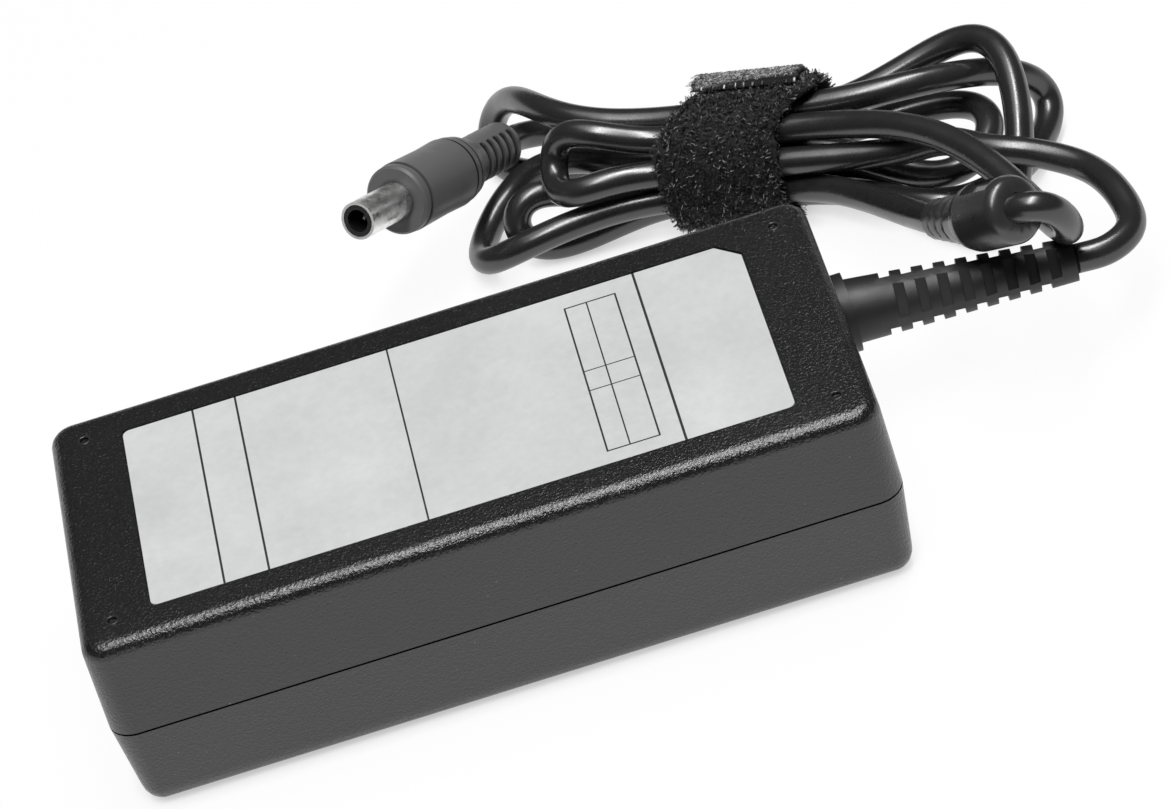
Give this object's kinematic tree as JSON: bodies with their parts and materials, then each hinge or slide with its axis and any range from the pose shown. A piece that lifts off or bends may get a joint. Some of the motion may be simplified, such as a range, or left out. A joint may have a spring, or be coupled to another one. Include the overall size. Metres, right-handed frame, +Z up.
{
  "type": "laptop power adapter",
  "caption": "Black laptop power adapter with a mains inlet, a captive output cord wound into a strapped hank, a moulded bead and a barrel plug",
  "frame": {"origin": "centre of the base of the case, on the surface it stands on", "axes": "+X along the case towards the end that the output cord leaves, +Y across the case towards the side where the cord lies, +Z up"},
  "size_m": [0.1511, 0.1218, 0.0312],
  "materials": {
    "case_plastic": "fine spark texture, semi-matt",
    "label_film": "satin silver film",
    "inlet_plastic": "moulded, smooth",
    "plated_pins": "nickel plated",
    "boot_vinyl": "moulded, semi-matt",
    "cord_vinyl": "glossy flexible jacket",
    "bead_vinyl": "moulded, matt",
    "strap_loop": "brushed loop pile",
    "strap_hook": "woven back with hooks",
    "plug_vinyl": "moulded, matt",
    "plated_barrel": "nickel plated, lightly worn",
    "insulator": "moulded",
    "board_resin": "glass resin laminate",
    "fuse_glass": "clear tube",
    "film_capacitor": "moulded box",
    "choke_wire": "enamelled copper wire on a ferrite core",
    "component_epoxy": "moulded epoxy",
    "capacitor_sleeve": "shrink sleeve on an aluminium can",
    "sink_aluminium": "plain sheet",
    "disc_ceramic": "dipped coating",
    "white_epoxy": "moulded epoxy",
    "ferrite": "sintered ferrite",
    "winding_tape": "polyester tape over copper wire"
  },
  "bodies": {
    "adapter": {"top_cover": "case_plastic", "bottom_cover": "case_plastic", "rating_label": "label_film", "ac_inlet": "inlet_plastic", "inlet_pins": "plated_pins", "strain_relief": "boot_vinyl", "cord_lead": "cord_vinyl", "cord_hank": "cord_vinyl", "cord_tail": "cord_vinyl", "ferrite_bead": "bead_vinyl", "strap_band": "strap_loop", "plug_grip": "plug_vinyl", "plug_barrel": "plated_barrel", "plug_insulator": "insulator", "plug_pin": "plated_pins", "circuit_board": "board_resin", "fuse": "fuse_glass", "x_capacitor": "film_capacitor", "common_mode_choke": "choke_wire", "bridge_rectifier": "component_epoxy", "bulk_capacitor": "capacitor_sleeve", "primary_heatsink": "sink_aluminium", "power_transistor": "component_epoxy", "y_capacitor": "disc_ceramic", "optocoupler": "white_epoxy", "transformer_core": "ferrite", "transformer_winding": "winding_tape", "secondary_heatsink": "sink_aluminium", "output_rectifier": "component_epoxy", "output_capacitors": "capacitor_sleeve", "output_choke": "choke_wire", "heat_shield": "sink_aluminium"},
    "tab": {"strap_tab": "strap_hook"}
  },
  "joints": [
    {"name": "tab_lift", "type": "hinge", "parent": "adapter", "child": "tab", "pos_m": [0.05119, 0.07208, 0.0151], "axis": [-0.9397, 0.342, 0], "range_deg": [0, 100]}
  ]
}
